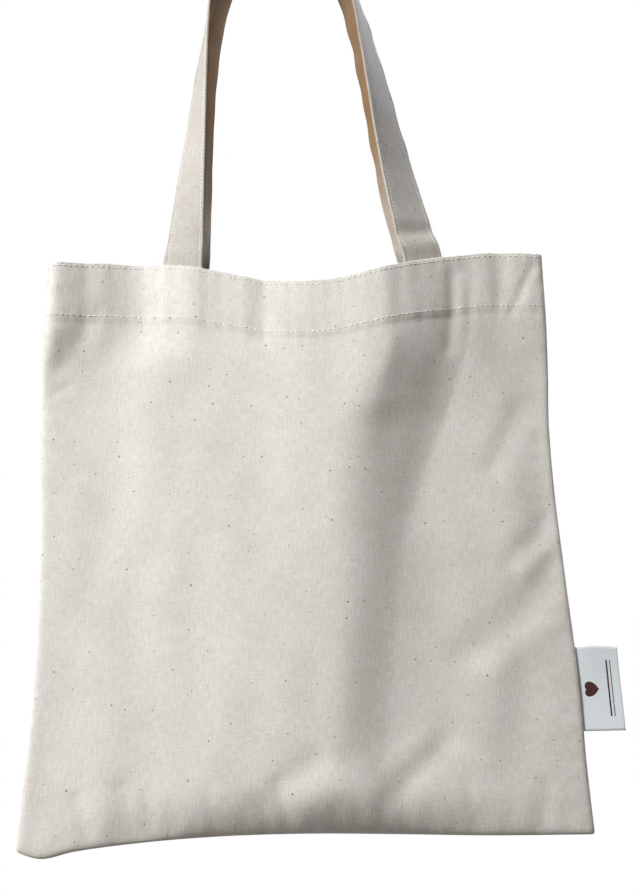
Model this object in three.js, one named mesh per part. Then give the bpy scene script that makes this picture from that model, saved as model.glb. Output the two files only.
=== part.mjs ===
// A small cotton canvas tote, hanging by its two handles.
// Millimetres, +Z up, the front faces -Y. The origin is the point that the bag hangs from,
// under the crowns of the handles.
import * as THREE from 'three';

// The bag
const bagWidth = 300; // across the corners of the bottom seam
const bagHeight = 340; // from the bottom seam to the edge of the hem
const sideDrawIn = 3; // each side is drawn in this far above its bottom corner
const sideDrawInReach = 70; // height over which the side draws in
const bellyDepth = 16; // how far each panel stands off the bag's middle plane
const bellyPower = 0.8; // shape of the panel's curve from side to side
const rollHeight = 26; // height over which a panel rolls out from the bottom seam
const clothThickness = 0.8;
const layerGap = 0.3; // between two layers that lie on each other
const sidePull = 4; // power with which the sag and lift below die out towards the sides

// The hem and the way the mouth hangs
const hemDepth = 37;
const hemEndInset = 3; // the turned-in layer stops this far from the side seams
const mouthSag = 22; // the hem hangs this much lower between the handles
const mouthSagSpread = 80;
const mouthSagX = 9;
const mouthSagReach = 190; // the sag dies out over this height
const bottomLift = 9; // the bottom seam is drawn up by this much between its corners
const bottomLiftSpread = 200;
const bottomLiftX = -15;
const cornerLift = 3.5; // and the right corner by this much
const bottomLiftReach = 120;

// The handles
const handleRise = 240; // from the hem to the underside of the crown
const strapSpacing = 143; // between the middles of a handle's two ends
const strapShift = { front: 4, back: 6 }; // and each pair of ends is sewn this far right of the middle
const strapWidth = 25;
const strapThickness = 2.4; // four layers of folded canvas
const crownFlat = 16; // length of the level stretch at the crown

// How each leg bows between the hem and the crown, and the rise over which it turns edge-on
const legs = {
  front: {
    left: { baseLean: 17, baseReach: 0.63, shoulder: 53, turnRise: 189, turnPower: 0.7 },
    right: { baseLean: -16, baseReach: 0.38, shoulder: 33, turnRise: handleRise, turnPower: 1.05 },
  },
  back: {
    left: { baseLean: 12, baseReach: 0.47, shoulder: 45, turnRise: 159, turnPower: 0.63 },
    right: { baseLean: -17, baseReach: 0.34, shoulder: 36, turnRise: handleRise, turnPower: 0.71 },
  },
};
const legSettleRise = 60; // height over which a leg reaches its own half of the crown

// Seams, thread and label
const seamAllowance = 8;
const seamInset = 2.2; // from the bag's edge to the allowance
const seamEndGap = 2; // an allowance stops this far short of the hem or of the next allowance
const threadThickness = 0.5;
const threadWidth = 0.8;
const seamStitchInset = 6.5; // from the bag's edge to the row that closes a seam
const hemStitchInset = 3; // from the lower edge of the hem to its row of stitches
const edgeStitchInset = 2.5; // from the edge of a hem or strap to its row of stitches
const strapEndInset = 1.2; // from the lower edge of the hem to the end of a strap
const overlockWidth = 1.2;
const labelWidth = 22;
const labelHeight = 45;
const labelThickness = 1;
const labelCentre = 80; // above the bottom seam
const edgeClearance = 0.4;

// The soft folds. Each hollow sinks into its panel from the mouth down to its reach.
const mainFold = { bottomX: 28, topX: 73, bend: 2.2, width: 18, depth: 7, fadeIn: 60, hemShare: 0.36 };
const frontHollows = [
  { x: -108, width: 15, depth: 3.5, reach: 130 },
  { x: -20, width: 9, depth: 2, reach: 90 },
];
const backHollows = [
  { x: 62, width: 26, depth: 4, reach: 300 },
  { x: -48, width: 30, depth: 3, reach: 240 },
];

// How finely the solids follow the cloth
const sideColumns = 8;
const strapColumns = 3;
const middleColumns = 12;
const rollRows = 5;
const bellyRows = 14;
const legSteps = 18;
const legCrowding = 1.3; // the steps of a leg lie closer together near the hem, where it turns most
const seamSteps = 14;

const FRONT = -1;
const BACK = 1;
const LEFT = -1;
const RIGHT = 1;
const faceName = (face) => (face === FRONT ? 'front' : 'back');
const sideName = (side) => (side === LEFT ? 'left' : 'right');
const hemZ = -handleRise;
const bottomZ = hemZ - bagHeight;
const hemStart = bagHeight - hemDepth;
const hemStitchHeight = hemStart + hemStitchInset;
const edgeStitchHeight = bagHeight - edgeStitchInset;

const smooth = (t) => THREE.MathUtils.smoothstep(t, 0, 1);
const bell = (distance, spread) => Math.exp(-((distance / spread) ** 2));

// The cloth. A place on a panel is given by x and by its height along the cloth from the bottom seam.

function halfWidth(height) {
  return bagWidth / 2 - sideDrawIn * (1 - Math.exp(-height / sideDrawInReach));
}

function clothZ(x, height) {
  const sagFade = smooth(1 - (bagHeight - height) / mouthSagReach);
  const sag = mouthSag * bell(x - mouthSagX, mouthSagSpread) * sagFade;
  const liftFade = smooth(1 - height / bottomLiftReach);
  const lift = bottomLift * bell(x - bottomLiftX, bottomLiftSpread) * liftFade;
  const u = x / halfWidth(height);
  const edgeFade = 1 - Math.abs(u) ** sidePull;
  const tilt = cornerLift * smooth((1 + u) / 2) * liftFade;
  return bottomZ + height + (lift - sag) * edgeFade + tilt;
}

function foldRelief(face, x, height) {
  let relief = 0;
  for (const hollow of face === FRONT ? frontHollows : backHollows) {
    const fade = smooth(1 - (bagHeight - height) / hollow.reach);
    relief += hollow.depth * bell(x - hollow.x, hollow.width) * fade;
  }
  if (face === FRONT) {
    const climb = (height / bagHeight) ** mainFold.bend;
    const centre = THREE.MathUtils.lerp(mainFold.bottomX, mainFold.topX, climb);
    const t = (x - centre) / mainFold.width;
    const nearHem = smooth((height - hemStart + hemDepth) / (2 * hemDepth));
    const share = THREE.MathUtils.lerp(1, mainFold.hemShare, nearHem) * smooth(height / mainFold.fadeIn);
    relief += mainFold.depth * share * t * Math.exp(0.5 - (t * t) / 2);
  }
  return relief;
}

// Distance from the middle plane to the inner face of a panel.
function innerDepth(face, x, height) {
  const u = x / halfWidth(height);
  const across = Math.max(0, 1 - u * u) ** bellyPower;
  const share = Math.max(0, 1 - height / rollHeight);
  const roll = Math.sqrt(1 - share * share);
  const belly = Math.max(0, bellyDepth - foldRelief(face, x, height));
  return layerGap / 2 + belly * roll * across;
}

// The middle of a layer that starts at the given distance inside the panel's inner face;
// a negative distance is outside it.
function clothPoint(face, x, height, inward) {
  return new THREE.Vector3(x, face * (innerDepth(face, x, height) - inward), clothZ(x, height));
}

const panelMiddle = -clothThickness / 2;
const hemLayerMiddle = layerGap + clothThickness / 2;
const strapEndMiddle = 2 * layerGap + clothThickness + strapThickness / 2;
const outerThreadMiddle = -clothThickness - layerGap - threadThickness / 2;
const innerThreadMiddle = strapEndMiddle + strapThickness / 2 + layerGap + threadThickness / 2;

// The middle of a strap's end, and its edges from left to right.
const strapMiddle = (face, side) => strapShift[faceName(face)] + (side * strapSpacing) / 2;
const strapEdges = (face, side) => [-1, 1].map((way) => strapMiddle(face, side) + (way * strapWidth) / 2);

// Columns are shares of the half width, and every layer of a panel uses the same ones, so
// that layers lie on each other facet to facet.
const mouthHalf = halfWidth(bagHeight);
const hemLayerEnd = mouthHalf - hemEndInset;

function spread(from, to, steps) {
  return Array.from({ length: steps }, (_, i) => THREE.MathUtils.lerp(from, to, i / steps));
}

function panelColumns(face) {
  const [leftOuter, leftInner] = strapEdges(face, LEFT);
  const [rightInner, rightOuter] = strapEdges(face, RIGHT);
  return [
    -mouthHalf,
    ...spread(-hemLayerEnd, leftOuter, sideColumns - 1),
    ...spread(leftOuter, leftInner, strapColumns),
    ...spread(leftInner, rightInner, middleColumns),
    ...spread(rightInner, rightOuter, strapColumns),
    ...spread(rightOuter, hemLayerEnd, sideColumns - 1),
    hemLayerEnd,
    mouthHalf,
  ].map((x) => x / mouthHalf);
}

const halfTurn = Math.PI / 2;
const rollHeights = spread(0, halfTurn, rollRows).map((angle) => rollHeight * (1 - Math.cos(angle)));
const hemMiddle = (hemStitchHeight + edgeStitchHeight) / 2;
const hemHeights = [hemStart, hemStitchHeight, hemMiddle, edgeStitchHeight, bagHeight];
const panelHeights = [...rollHeights, ...spread(rollHeight, hemStart, bellyRows), ...hemHeights];

// Closed shapes

// Turns a closed geometry's faces outwards.
function outward(geometry) {
  const position = geometry.getAttribute('position');
  const order = geometry.getIndex().array;
  const [a, b, c] = [new THREE.Vector3(), new THREE.Vector3(), new THREE.Vector3()];
  let volume = 0;
  for (let i = 0; i < order.length; i += 3) {
    a.fromBufferAttribute(position, order[i]);
    b.fromBufferAttribute(position, order[i + 1]);
    c.fromBufferAttribute(position, order[i + 2]);
    volume += a.dot(b.cross(c));
  }
  if (volume < 0) geometry.setIndex(Array.from(order).reverse());
  geometry.computeVertexNormals();
  return geometry;
}

function closedGeometry(points, order) {
  const geometry = new THREE.BufferGeometry().setFromPoints(points);
  geometry.setIndex(order);
  return outward(geometry);
}

// A tube through rings of points, closed at both ends.
function loftGeometry(rings) {
  const sides = rings[0].length;
  const order = [];
  for (let r = 0; r + 1 < rings.length; r++) {
    for (let k = 0; k < sides; k++) {
      const [a, b] = [r * sides + k, r * sides + ((k + 1) % sides)];
      order.push(a, b, b + sides, a, b + sides, a + sides);
    }
  }
  const last = (rings.length - 1) * sides;
  for (let k = 1; k + 1 < sides; k++) {
    order.push(0, k + 1, k, last, last + k, last + k + 1);
  }
  return closedGeometry(rings.flat(), order);
}

// A sheet: a grid of middle points, made thick along Y.
function sheetGeometry(grid, thickness) {
  const [rows, across] = [grid.length, grid[0].length];
  const points = [-1, 1].flatMap((way) =>
    grid.flat().map((p) => new THREE.Vector3(p.x, p.y + (way * thickness) / 2, p.z)),
  );
  const at = (layer, r, c) => layer * rows * across + r * across + c;
  const order = [];
  const quad = (a, b, c, d) => order.push(a, b, c, a, c, d);
  for (let r = 0; r + 1 < rows; r++) {
    for (let c = 0; c + 1 < across; c++) {
      quad(at(0, r, c), at(0, r, c + 1), at(0, r + 1, c + 1), at(0, r + 1, c));
      quad(at(1, r, c), at(1, r + 1, c), at(1, r + 1, c + 1), at(1, r, c + 1));
    }
    quad(at(0, r, 0), at(0, r + 1, 0), at(1, r + 1, 0), at(1, r, 0));
    quad(at(0, r, across - 1), at(1, r, across - 1), at(1, r + 1, across - 1), at(0, r + 1, across - 1));
  }
  for (let c = 0; c + 1 < across; c++) {
    quad(at(0, 0, c), at(1, 0, c), at(1, 0, c + 1), at(0, 0, c + 1));
    quad(at(0, rows - 1, c), at(0, rows - 1, c + 1), at(1, rows - 1, c + 1), at(1, rows - 1, c));
  }
  return closedGeometry(points, order);
}

// A flat bar along a line of points: half sizes along the two given directions.
function barRing(point, first, second) {
  return [
    point.clone().sub(first).sub(second),
    point.clone().add(first).sub(second),
    point.clone().add(first).add(second),
    point.clone().sub(first).add(second),
  ];
}

// Materials
const naturalCanvas = new THREE.MeshStandardMaterial({ color: 0xdcd8cc, roughness: 0.95, metalness: 0 });
const strapCanvas = new THREE.MeshStandardMaterial({ color: 0xd6d1c4, roughness: 0.95, metalness: 0 });
const creamThread = new THREE.MeshStandardMaterial({ color: 0xece6d2, roughness: 0.8, metalness: 0 });
const labelRibbon = new THREE.MeshStandardMaterial({ color: 0xd8dde2, roughness: 0.7, metalness: 0 });

const bag = new THREE.Group();

function addPiece(name, geometry, material) {
  const mesh = new THREE.Mesh(geometry, material.clone());
  mesh.name = name;
  bag.add(mesh);
}

// The layers of one side: the panel, the turned-in hem and the strap ends sewn inside it.

function layerSheet(face, heights, shares, inward, thickness) {
  const row = (height) =>
    shares.map((share) => clothPoint(face, share * halfWidth(height), height, inward));
  return sheetGeometry(heights.map(row), thickness);
}

// A row of thread laid across a panel at one height.
function threadAcross(face, height, shares, inward) {
  const rings = shares.map((share) =>
    barRing(
      clothPoint(face, share * halfWidth(height), height, inward),
      new THREE.Vector3(0, threadThickness / 2, 0),
      new THREE.Vector3(0, 0, threadWidth / 2),
    ),
  );
  return loftGeometry(rings);
}

function between(shares, low, high) {
  const slack = layerGap / 100;
  return shares.filter((share) => share * mouthHalf > low - slack && share * mouthHalf < high + slack);
}

function addPanel(face) {
  const name = faceName(face);
  const columns = panelColumns(face);
  const panel = layerSheet(face, panelHeights, columns, panelMiddle, clothThickness);
  addPiece(`${name}_panel`, panel, naturalCanvas);
  const hemColumns = between(columns, -hemLayerEnd, hemLayerEnd);
  const turning = layerSheet(face, hemHeights, hemColumns, hemLayerMiddle, clothThickness);
  addPiece(`${name}_hem_turning`, turning, naturalCanvas);
  const outerRow = (height) => threadAcross(face, height, hemColumns, outerThreadMiddle);
  addPiece(`${name}_hem_stitching`, outerRow(hemStitchHeight), creamThread);
  addPiece(`${name}_edge_stitching`, outerRow(edgeStitchHeight), creamThread);
  for (const side of [LEFT, RIGHT]) {
    const strapColumnShares = between(columns, ...strapEdges(face, side));
    const strapHeights = [hemStart + strapEndInset, ...hemHeights.slice(1)];
    const strapSheet = layerSheet(face, strapHeights, strapColumnShares, strapEndMiddle, strapThickness);
    addPiece(`${name}_${sideName(side)}_strap_end`, strapSheet, strapCanvas);
    const row = threadAcross(face, hemStitchHeight, strapColumnShares, innerThreadMiddle);
    addPiece(`${name}_${sideName(side)}_strap_stitching`, row, creamThread);
  }
}

addPanel(FRONT);
addPanel(BACK);

// The handles. Each is one strap: two legs that turn edge-on as they rise, and a crown
// where the strap lies level, half of it on each side of the middle plane.

const crownMiddleZ = strapThickness / 2;

// A place in the middle of a strap's end, at the edge of the hem.
const legBase = (face, side) => clothPoint(face, strapMiddle(face, side), bagHeight, strapEndMiddle);

// The slope of the hem where a leg leaves it, as an angle about Z.
function baseTurn(face, side) {
  const [left, right] = strapEdges(face, side).map((x) => clothPoint(face, x, bagHeight, strapEndMiddle));
  const deeper = side * (Math.abs(left.y) - Math.abs(right.y));
  return Math.asin(THREE.MathUtils.clamp(deeper / strapWidth, -1, 1));
}

function legCurve(face, side) {
  const base = legBase(face, side);
  const rise = crownMiddleZ - base.z;
  const crown = new THREE.Vector3((side * crownFlat) / 2, 0, crownMiddleZ);
  const leg = legs[faceName(face)][sideName(side)];
  return new THREE.CubicBezierCurve3(
    new THREE.Vector3(base.x, 0, base.z),
    new THREE.Vector3(base.x + leg.baseLean, 0, base.z + rise * leg.baseReach),
    new THREE.Vector3(crown.x + side * leg.shoulder, 0, crown.z),
    crown,
  );
}

function legTurn(face, side, rise) {
  const leg = legs[faceName(face)][sideName(side)];
  const share = THREE.MathUtils.clamp(rise / leg.turnRise, 0, 1);
  return THREE.MathUtils.lerp(baseTurn(face, side), halfTurn, share ** leg.turnPower);
}

// A place on the handle: its middle, the direction across the strap towards its inner edge,
// and the outward direction.
function strapFrame(face, side, middle, direction) {
  const rise = middle.z - hemZ;
  const turn = legTurn(face, side, rise);
  const crownY = face * (strapWidth / 2 + layerGap);
  const y = THREE.MathUtils.lerp(legBase(face, side).y, crownY, smooth(rise / legSettleRise));
  const point = new THREE.Vector3(middle.x, y, middle.z);
  const inPlane = new THREE.Vector3(direction.z, 0, -direction.x);
  const across = inPlane.multiplyScalar(Math.cos(turn)).add(new THREE.Vector3(0, face * Math.sin(turn), 0));
  const out = face === FRONT ? across.clone().cross(direction) : direction.clone().cross(across);
  return { point, across: across.normalize(), out: out.normalize() };
}

function legFrames(face, side) {
  const curve = legCurve(face, side);
  return Array.from({ length: legSteps }, (_, i) => {
    const t = ((i + 1) / legSteps) ** legCrowding;
    const direction = curve.getTangent(t).multiplyScalar(-side);
    return strapFrame(face, side, curve.getPoint(t), direction);
  });
}

// How far the hem's edge rises above a straight line across the strap.
function edgeRise(face, side) {
  const [left, right] = strapEdges(face, side);
  const hemEdgeZ = (share) => clothZ(THREE.MathUtils.lerp(left, right, share), bagHeight);
  const lineZ = (share) => THREE.MathUtils.lerp(hemEdgeZ(0), hemEdgeZ(1), share);
  const shares = [...spread(0, 1, strapColumns), 1];
  return Math.max(...shares.map((share) => hemEdgeZ(share) - lineZ(share)));
}

// Where a leg meets the hem, the strap has the slope of the hem and of its edge.
function baseFrame(face, side) {
  const lift = new THREE.Vector3(0, 0, layerGap + edgeRise(face, side));
  const lifted = (x) => clothPoint(face, x, bagHeight, strapEndMiddle).add(lift);
  const [left, right] = strapEdges(face, side).map(lifted);
  return {
    point: left.clone().add(right).multiplyScalar(0.5),
    across: right.clone().sub(left).multiplyScalar(-side).normalize(),
    out: new THREE.Vector3(0, face, 0),
  };
}

function handleFrames(face) {
  return [
    baseFrame(face, LEFT),
    ...legFrames(face, LEFT),
    ...legFrames(face, RIGHT).reverse(),
    baseFrame(face, RIGHT),
  ];
}

// A point of the strap or its thread, from the strap's middle.
function strapPoint(frame, across, out) {
  return frame.point.clone().addScaledVector(frame.across, across).addScaledVector(frame.out, out);
}

// The strap's section has a corner under each row of thread, so that the rows lie on its facets.
const strapRow = strapWidth / 2 - edgeStitchInset;

function strapRing(frame) {
  const [edge, face] = [strapWidth / 2, strapThickness / 2];
  const outside = [edge, strapRow, -strapRow, -edge].map((across) => strapPoint(frame, across, face));
  return [strapPoint(frame, -edge, -face), strapPoint(frame, edge, -face), ...outside];
}

function threadRing(frame, across) {
  const lift = (strapThickness + threadThickness) / 2 + layerGap;
  return barRing(
    strapPoint(frame, across, lift),
    frame.across.clone().multiplyScalar(threadWidth / 2),
    frame.out.clone().multiplyScalar(threadThickness / 2),
  );
}

function addHandle(face) {
  const name = `${faceName(face)}_handle`;
  const frames = handleFrames(face);
  addPiece(name, loftGeometry(frames.map(strapRing)), strapCanvas);
  for (const [rowName, across] of [['inner', strapRow], ['outer', -strapRow]]) {
    const row = frames.map((frame) => threadRing(frame, across));
    addPiece(`${name}_${rowName}_stitching`, loftGeometry(row), creamThread);
  }
}

addHandle(FRONT);
addHandle(BACK);

// The seams. Inside the bag the two raw edges of each seam lie together, closed by a row of
// stitches and bound by overlock thread.

const allowanceThickness = 2 * clothThickness;
const seamTop = hemStart - seamEndGap;
const seamThreadY = -(allowanceThickness / 2 + layerGap + threadThickness / 2);
const allowanceInset = seamInset + seamAllowance / 2;
const overlockInset = seamInset + seamAllowance + layerGap + overlockWidth / 2;
const overlockThickness = allowanceThickness + 2 * threadThickness;

function sideSeamPoint(side, height, inset, y) {
  const edge = side * halfWidth(height);
  return new THREE.Vector3(edge - side * inset, y, clothZ(edge, height));
}

function addSideSeam(side) {
  const name = sideName(side);
  const seamBottom = overlockInset + overlockWidth / 2 + seamEndGap;
  const heights = [...spread(seamBottom, seamTop, seamSteps), seamTop];
  const bar = (inset, y, width, thickness) =>
    loftGeometry(
      heights.map((height) =>
        barRing(
          sideSeamPoint(side, height, inset, y),
          new THREE.Vector3(width / 2, 0, 0),
          new THREE.Vector3(0, thickness / 2, 0),
        ),
      ),
    );
  const allowance = bar(allowanceInset, 0, seamAllowance, allowanceThickness);
  addPiece(`${name}_side_seam`, allowance, naturalCanvas);
  const stitching = bar(seamStitchInset, seamThreadY, threadWidth, threadThickness);
  addPiece(`${name}_seam_stitching`, stitching, creamThread);
  const overlock = bar(overlockInset, 0, overlockWidth, overlockThickness);
  addPiece(`${name}_overlock_thread`, overlock, creamThread);
}

addSideSeam(LEFT);
addSideSeam(RIGHT);

function addBottomSeam() {
  const seamEnd = bagWidth / 2 - seamAllowance - seamEndGap;
  const places = [...spread(-seamEnd, seamEnd, 2 * seamSteps), seamEnd];
  const bar = (inset, y, height, thickness) =>
    loftGeometry(
      places.map((x) =>
        barRing(
          new THREE.Vector3(x, y, clothZ(x, 0) + inset),
          new THREE.Vector3(0, thickness / 2, 0),
          new THREE.Vector3(0, 0, height / 2),
        ),
      ),
    );
  const allowance = bar(allowanceInset, 0, seamAllowance, allowanceThickness);
  addPiece('bottom_seam', allowance, naturalCanvas);
  const stitching = bar(seamStitchInset, seamThreadY, threadWidth, threadThickness);
  addPiece('bottom_seam_stitching', stitching, creamThread);
  const overlock = bar(overlockInset, 0, overlockWidth, overlockThickness);
  addPiece('bottom_overlock_thread', overlock, creamThread);
}

addBottomSeam();

// The label: a folded ribbon that stands out of the right side seam.

const labelBottom = labelCentre - labelHeight / 2;
const labelHingeX = halfWidth(labelBottom) + edgeClearance + labelThickness / 2;
const label = new THREE.BoxGeometry(labelWidth, labelThickness, labelHeight);
label.translate(labelHingeX + labelWidth / 2, 0, clothZ(halfWidth(labelCentre), labelCentre));
addPiece('side_label', label, labelRibbon);

export default bag;
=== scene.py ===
import math

import bmesh
import bpy
import numpy as np
from mathutils import Matrix, Vector


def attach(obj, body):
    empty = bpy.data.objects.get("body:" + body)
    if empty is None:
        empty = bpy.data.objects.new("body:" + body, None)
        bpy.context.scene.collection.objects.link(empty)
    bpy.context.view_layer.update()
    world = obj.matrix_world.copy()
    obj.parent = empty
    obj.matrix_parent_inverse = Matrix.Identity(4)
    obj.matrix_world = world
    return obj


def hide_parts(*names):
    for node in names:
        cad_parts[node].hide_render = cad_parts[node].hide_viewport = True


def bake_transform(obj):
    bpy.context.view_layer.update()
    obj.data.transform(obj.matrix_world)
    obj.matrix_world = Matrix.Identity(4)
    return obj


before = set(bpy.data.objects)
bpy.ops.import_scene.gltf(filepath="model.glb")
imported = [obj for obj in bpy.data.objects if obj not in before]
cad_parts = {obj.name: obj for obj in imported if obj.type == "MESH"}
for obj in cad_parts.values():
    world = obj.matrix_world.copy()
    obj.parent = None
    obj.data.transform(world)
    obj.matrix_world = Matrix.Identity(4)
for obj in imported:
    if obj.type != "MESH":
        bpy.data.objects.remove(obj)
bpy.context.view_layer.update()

# The two panels are plain-weave cotton canvas, cut to one size and left unbleached. Each is turned
# in along its top edge for the hem, so the cloth runs up the outside, over the edge and down inside.
# The bag hangs empty: the cloth bellies out between the seams and falls into a few soft folds.

# Sizes are in millimetres. The front faces -Y, and heights are measured along the cloth.
MM = 0.001
FRONT, BACK = -1, 1
LEFT, RIGHT = -1, 1
FACE_NAMES = {FRONT: "front", BACK: "back"}

bag_width = 300
bag_height = 340
hem_depth = 37
top_z = -240
bottom_z = top_z - bag_height
hem_start = bag_height - hem_depth
cloth_thickness = 0.8
layer_gap = 0.3
side_draw_in, side_draw_in_reach = 3, 70
roll_height = 27
mouth_sag = {"depth": 22, "x": 11, "spread": 72, "reach": 190}
corner_radius = 1.6


def smooth(t):
    t = np.clip(t, 0, 1)
    return t * t * (3 - 2 * t)


def bell(distance, spread):
    return np.exp(-((distance / spread) ** 2))


def rise_from(distance, reach):
    """0 at a place, and nearly 1 well past its reach."""
    return 1 - np.exp(-distance / reach)


def blend_of(a, b, share):
    return a + (b - a) * share


def curve(points, place):
    """A smooth curve through a few (place, size) points."""
    places, sizes = np.array(points, float).T
    slopes = np.gradient(sizes, places)
    low = np.clip(np.searchsorted(places, place) - 1, 0, len(places) - 2)
    span = places[low + 1] - places[low]
    t = np.clip((place - places[low]) / span, 0, 1)
    bend = (1 - t) * slopes[low] - t * slopes[low + 1]
    return blend_of(sizes[low], sizes[low + 1], smooth(t)) + t * (1 - t) * span * bend


# How far each side seam stands out of the straight, at heights above the bottom.
seam_wander = {
    LEFT: ((0, 2.0), (20, 1.4), (45, 0.2), (80, -1.4), (130, -2.2), (170, -1.6), (240, 1.4), (340, -0.4)),
    RIGHT: ((0, 0.0), (40, 0.2), (80, 0.9), (139, -1.2), (200, -3.2), (235, -2.8), (262, -0.9), (340, 1.0)),
}

# How far the bottom edge is drawn up, from left to right. Its left corner is tucked in.
bottom_lift = (
    (-150, 5.5), (-139, 1.9), (-122, 4.8), (-90, 8.2), (-50, 10.4),
    (0, 10.7), (50, 9.1), (90, 7.5), (150, 6.4),
)
bottom_lift_reach = 120


def wander(side, height):
    return curve(seam_wander[side], height)


def half_width(height):
    corner = np.clip(1 - height / corner_radius, 0, 1)
    rounding = corner_radius * (1 - np.sqrt(1 - corner**2))
    return bag_width / 2 - side_draw_in * rise_from(height, side_draw_in_reach) - rounding


def cloth_x(u, height):
    side_shift = np.where(u < 0, -wander(LEFT, height), wander(RIGHT, height))
    return u * half_width(height) + side_shift * np.abs(u) ** 4


def cloth_z(u, height):
    x = u * half_width(height)
    below_edge = bag_height - height
    sag = mouth_sag["depth"] * bell(x - mouth_sag["x"], mouth_sag["spread"])
    sag = sag * smooth(1 - below_edge / mouth_sag["reach"])
    lift = curve(bottom_lift, x) * smooth(1 - height / bottom_lift_reach)
    return bottom_z + height + lift - sag * (1 - np.abs(u) ** 4)


# The front is nearly flat on the left and swells slowly to a ridge. There the main fold drops away to
# the right, and the rest slopes down to the right seam. Each list gives (height, size) pairs.
left_rise = ((0, 0.106), (60, 0.121), (140, 0.123), (230, 0.118), (340, 0.112))
ridge_x = ((0, 14), (56, 16), (110, 21), (168, 29), (200, 34), (256, 44), (286, 53), (340, 54))
valley_x = ((0, 40), (56, 42), (110, 49), (168, 57), (200, 68), (256, 90), (286, 99), (340, 99))
fold_slope = (
    (0, 0.1), (24, 0.28), (50, 0.4), (80, 0.45), (130, 0.48),
    (190, 0.48), (256, 0.4), (290, 0.37), (340, 0.3),
)
ridge_round = ((0, 16), (100, 14), (230, 12), (286, 3), (340, 3))
valley_round = ((0, 18), (140, 16), (340, 15))
right_swell = 1.6
left_hem_folds = (
    (-150, 0), (-143, 3.5), (-135, 2.8), (-123, 0.4), (-117, 0), (-104, -3), (-91, -5), (-78, -2.4), (-62, 0)
)
left_hem_folds_low, left_hem_folds_high = 266, 300
back_belly, belly_power = 16, 0.8
least_depth = 1.2
roll_power = 2.2
seam_puff = {"height": 1.9, "rise": 1.5, "reach": 14, "corner": 2}
flat_at_seams = 3


def puff(distance):
    """The cloth stands off its seams, over the raw edges inside."""
    fade = np.exp(-distance / seam_puff["reach"])
    return seam_puff["height"] * rise_from(distance, seam_puff["rise"]) * fade


def ramp(distance, rounding):
    """0 before a place and the distance past it, with a rounded corner between."""
    return (distance + np.sqrt(distance**2 + rounding**2)) / 2


def front_depth(x, height):
    half = half_width(height)
    rise, drop = curve(left_rise, height), curve(fold_slope, height)
    ridge, valley = curve(ridge_x, height), curve(valley_x, height)
    at_valley = rise * (ridge + half) - drop * (valley - ridge)
    away = at_valley / (half - valley)
    depth = rise * (x + half)
    depth = depth - (rise + drop) * ramp(x - ridge, curve(ridge_round, height))
    depth = depth + (drop - away) * ramp(x - valley, curve(valley_round, height))
    share = np.clip((x - valley) / (half - valley), 0, 1)
    depth = depth + right_swell * 4 * share * (1 - share)
    in_hem = smooth((height - left_hem_folds_low) / (left_hem_folds_high - left_hem_folds_low))
    return depth + curve(left_hem_folds, x) * in_hem


def back_depth(x, height):
    u = np.clip(x / half_width(height), -1, 1)
    return back_belly * (1 - u * u) ** belly_power


# Towards the top both side seams lean forward and sink a little, the left one more.
corner_lean = {
    LEFT: {"inner": 94, "outer": 146, "low": 246, "high": 292, "forward": 5, "down": 3.2},
    RIGHT: {"inner": 112, "outer": 146, "low": 262, "high": 310, "forward": 2.6, "down": 1.2},
}


def lean(x, height):
    """How much of each corner's lean a place takes part in, as (forward, down) in all."""
    forward, down = 0, 0
    for side, size in corner_lean.items():
        share = smooth((side * x - size["inner"]) / (size["outer"] - size["inner"]))
        share = share * smooth((height - size["low"]) / (size["high"] - size["low"]))
        forward = forward + size["forward"] * share
        down = down + size["down"] * share
    return forward, down


def crease(x, height, start, end, width, depth, ends=0.25):
    """A valley between two places on the cloth, which fades out over a share of its length."""
    (x0, h0), (x1, h1) = start, end
    length = math.hypot(x1 - x0, h1 - h0)
    along = ((x - x0) * (x1 - x0) + (height - h0) * (h1 - h0)) / length**2
    across = ((x - x0) * (h1 - h0) - (height - h0) * (x1 - x0)) / length
    fade = smooth((along + ends) / ends) * smooth((1 + ends - along) / ends)
    return depth * bell(across, width) * fade


# Each crease: where it starts and ends, its width and its depth. A negative depth is a ridge.
front_creases = [
    ((-19.5, 352), (-20.5, 304), 7, 1.7),
    ((-118, 306), (-146, 262), 7, 0.9),
    ((-132, 262), (-150, 250), 4, 0.6),
    ((48, 352), (45, 256), 20, -1.6),
    ((92.5, 326), (88, 284), 4.5, 0.9),
    ((58, 345), (57, 302), 4, 0.6),
    ((105, 345), (103, 306), 4, 0.5),
    ((122, 342), (120, 308), 4.5, 0.7),
    ((140, 330), (128, 304), 3, 0.9),
    ((150, 182), (116, 152), 6, 0.8),
    ((150, 166), (124, 146), 5, -0.6),
    ((148, 148), (88, 100), 10, 1.1),
    ((150, 128), (104, 92), 8, -0.6),
    ((128, 240), (110, 205), 8, 1.0),
    ((74, 50), (46, 20), 7, 0.9),
    ((60, 50), (30, 20), 8, -0.6),
    ((6, 40), (-24, 16), 9, 1.4),
    ((30, 34), (2, 14), 7, -0.4),
    ((118, 70), (96, 10), 12, 0.5),
    ((-120, 26), (-112, -4), 4.5, 0.7),
    ((-97, 30), (-90, -4), 6, 0.7),
    ((-84, 24), (-80, -4), 4, 0.5),
    ((-52, 22), (-48, -4), 4, 0.6),
    ((-15, 26), (-10, -4), 4, 0.7),
    ((84, 24), (88, -4), 4, 0.5),
    ((126, 26), (122, -4), 5, 0.5),
    ((-70, 250), (-66, 120), 15, 0.6),
    ((-108, 220), (-112, 90), 12, 0.5),
]
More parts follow.
